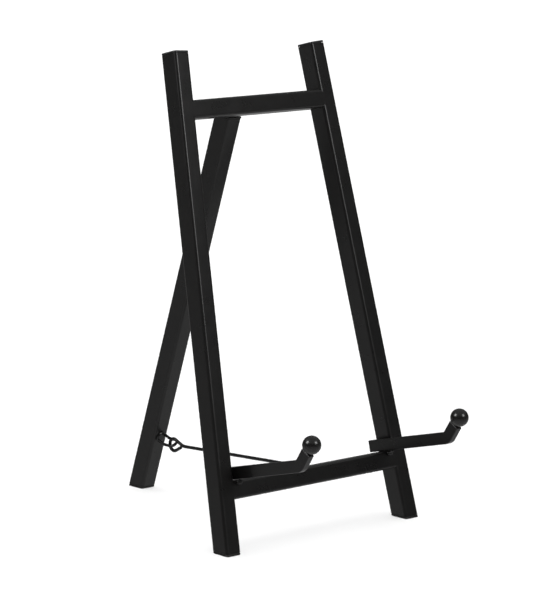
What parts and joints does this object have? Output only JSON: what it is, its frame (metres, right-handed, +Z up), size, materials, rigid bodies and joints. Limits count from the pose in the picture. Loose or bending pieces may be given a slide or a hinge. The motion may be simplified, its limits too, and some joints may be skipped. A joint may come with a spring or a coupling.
{
  "type": "folding tabletop display easel",
  "caption": "Folding A-frame display easel of black painted steel tube, with upturned hook arms that hold a picture and a hinged rear leg held by a wire stay.",
  "frame": {"origin": "on the table, at the middle of the open easel's outer box", "axes": "+Z up, front (the side a picture is seen from) towards -Y, +X to the right as seen from the front"},
  "size_m": [0.178, 0.2632, 0.326],
  "materials": {
    "black_paint": "satin black paint",
    "black_enamel": "glossy black enamel",
    "blackened_steel": "blackened steel wire and sheet, semi-gloss",
    "black_plastic": "moulded, fine matt"
  },
  "bodies": {
    "front_frame": {"bar_eye": "blackened_steel", "bottom_crossbar": "black_paint", "hinge_frame_leaf": "blackened_steel", "hinge_pin": "blackened_steel", "left_arm_weld": "black_paint", "left_ball_tip": "black_enamel", "left_foot_pad": "black_plastic", "left_front_leg": "black_paint", "left_hook_arm": "black_paint", "left_top_plug": "black_plastic", "right_arm_weld": "black_paint", "right_ball_tip": "black_enamel", "right_foot_pad": "black_plastic", "right_front_leg": "black_paint", "right_hook_arm": "black_paint", "right_top_plug": "black_plastic", "top_crossbar": "black_paint"},
    "rear_leg": {"rear_leg": "black_paint", "rear_foot_pad": "black_plastic", "hinge_leg_leaf": "blackened_steel", "leg_eye": "blackened_steel", "leg_eye_weld": "black_paint"},
    "stay": {"stay_hook": "blackened_steel"}
  },
  "joints": [
    {"name": "rear_leg_fold", "type": "hinge", "parent": "front_frame", "child": "rear_leg", "pos_m": [0, 0.03192, 0.2788], "axis": [1, 0, 0], "range_deg": [-28, 0]},
    {"name": "stay_swing", "type": "hinge", "parent": "rear_leg", "child": "stay", "pos_m": [0, 0.08838, 0.03641], "axis": [1, 0, 0], "range_deg": [-67, 0]}
  ],
  "couplings": [
    {"joint": "stay_swing", "follows": "rear_leg_fold", "ratio": 2.39}
  ]
}
